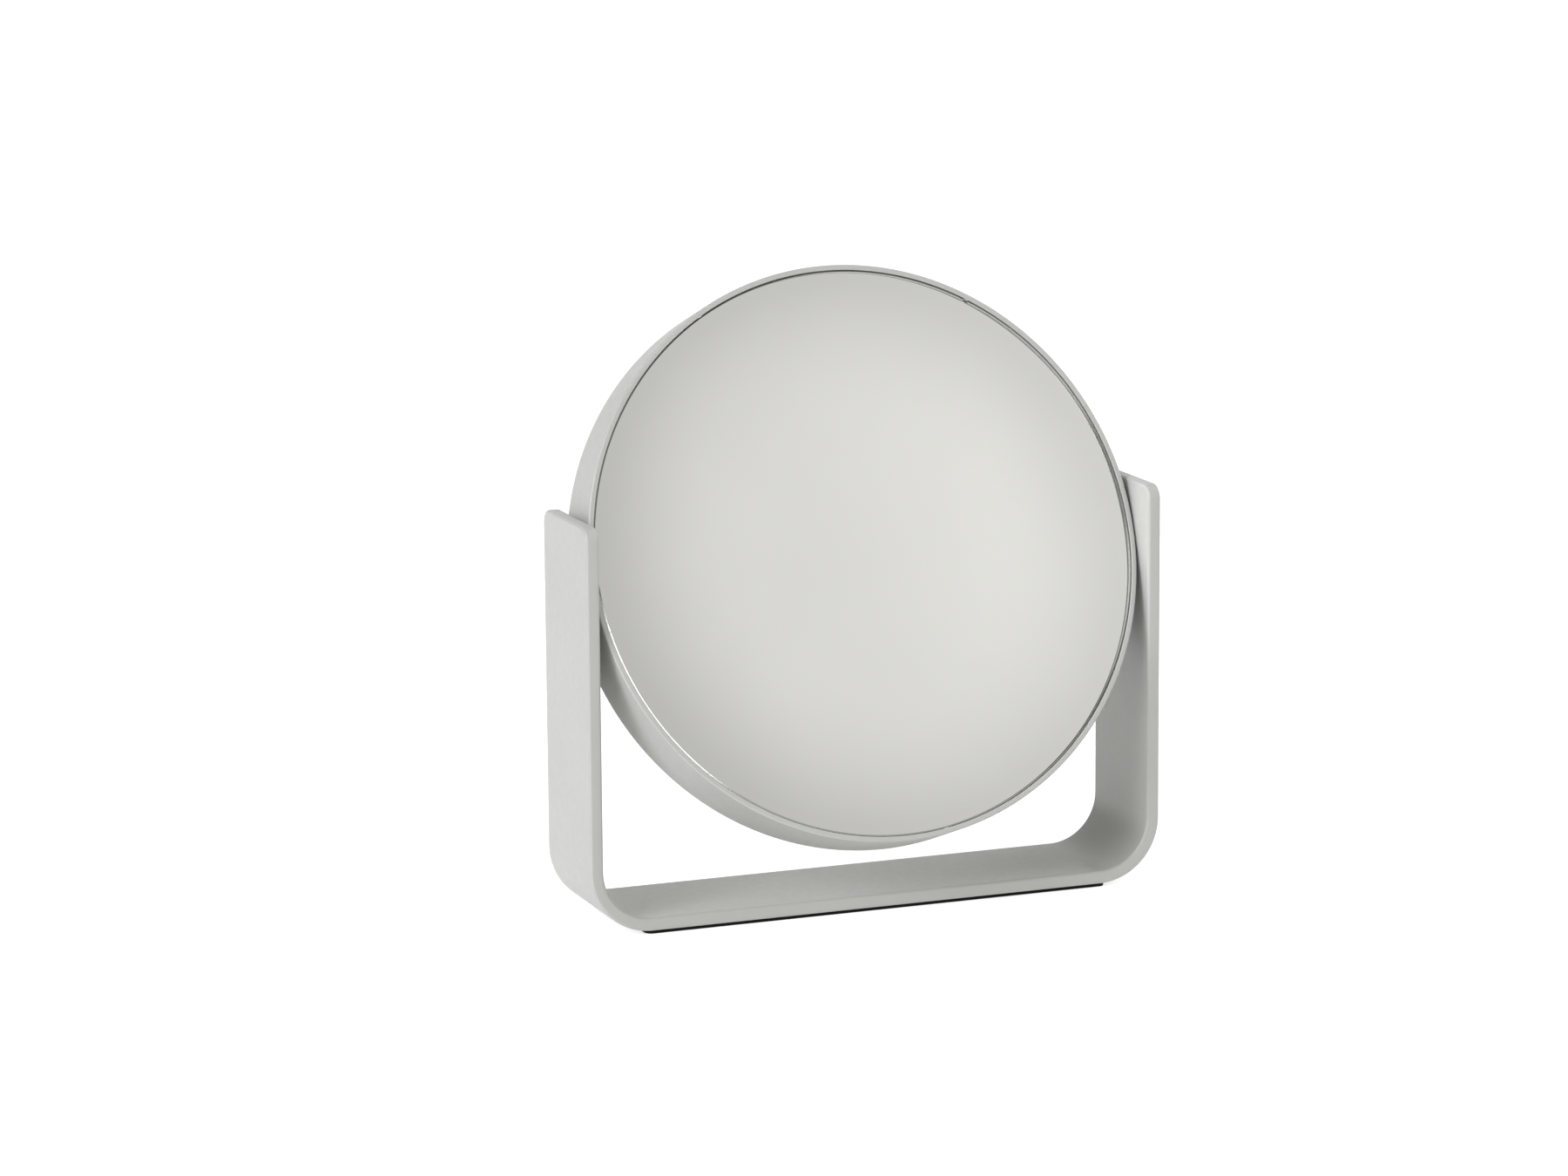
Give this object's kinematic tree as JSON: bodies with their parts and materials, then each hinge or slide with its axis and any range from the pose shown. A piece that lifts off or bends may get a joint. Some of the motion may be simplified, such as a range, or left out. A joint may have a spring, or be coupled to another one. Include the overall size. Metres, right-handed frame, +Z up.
{
  "type": "swivel table mirror",
  "caption": "Free-standing double-sided mirror: round drum with a dished magnifying glass and a plain glass, tilting on hidden pivots between the uprights of a U-shaped flat-strip stand.",
  "frame": {"origin": "on the table, under the middle of the stand, at the centre of the whole object's footprint", "axes": "+Z up, -Y towards the user (the magnifying side at rest), +X to the user's right"},
  "size_m": [0.19, 0.0816, 0.1967],
  "materials": {
    "powder_coat": "warm light grey fine matte powder coat",
    "mirror_glass": "silvered float glass, polished",
    "spring_steel": "bright polished",
    "black_rubber": "matte, fine grain",
    "adhesive_film": "translucent double-sided film",
    "black_plastic": "moulded, satin",
    "foam": "closed-cell foam tape",
    "zinc_steel": "zinc plated",
    "acetal": "natural white acetal"
  },
  "bodies": {
    "stand": {"stand_frame": "powder_coat", "base_pad": "black_rubber", "pad_adhesive": "adhesive_film", "pivot_screw_left": "zinc_steel", "friction_washer_left": "acetal", "disc_spring_left": "spring_steel", "plain_washer_left": "zinc_steel", "pivot_screw_right": "zinc_steel", "friction_washer_right": "acetal", "disc_spring_right": "spring_steel", "plain_washer_right": "zinc_steel"},
    "mirror": {"mirror_rim": "powder_coat", "magnifying_glass": "mirror_glass", "plain_glass": "mirror_glass", "retaining_ring_front": "spring_steel", "retaining_ring_rear": "spring_steel", "foam_ring_front": "foam", "foam_ring_rear": "foam", "spacer_upper": "black_plastic", "spacer_lower": "black_plastic", "pivot_block_left": "zinc_steel", "pivot_bush_left": "acetal", "thrust_washer_left": "acetal", "pivot_block_right": "zinc_steel", "pivot_bush_right": "acetal", "thrust_washer_right": "acetal"}
  },
  "joints": [
    {"name": "mirror_tilt", "type": "hinge", "parent": "stand", "child": "mirror", "pos_m": [0, 0, 0.10817], "axis": [1, 0, 0], "continuous": true}
  ]
}
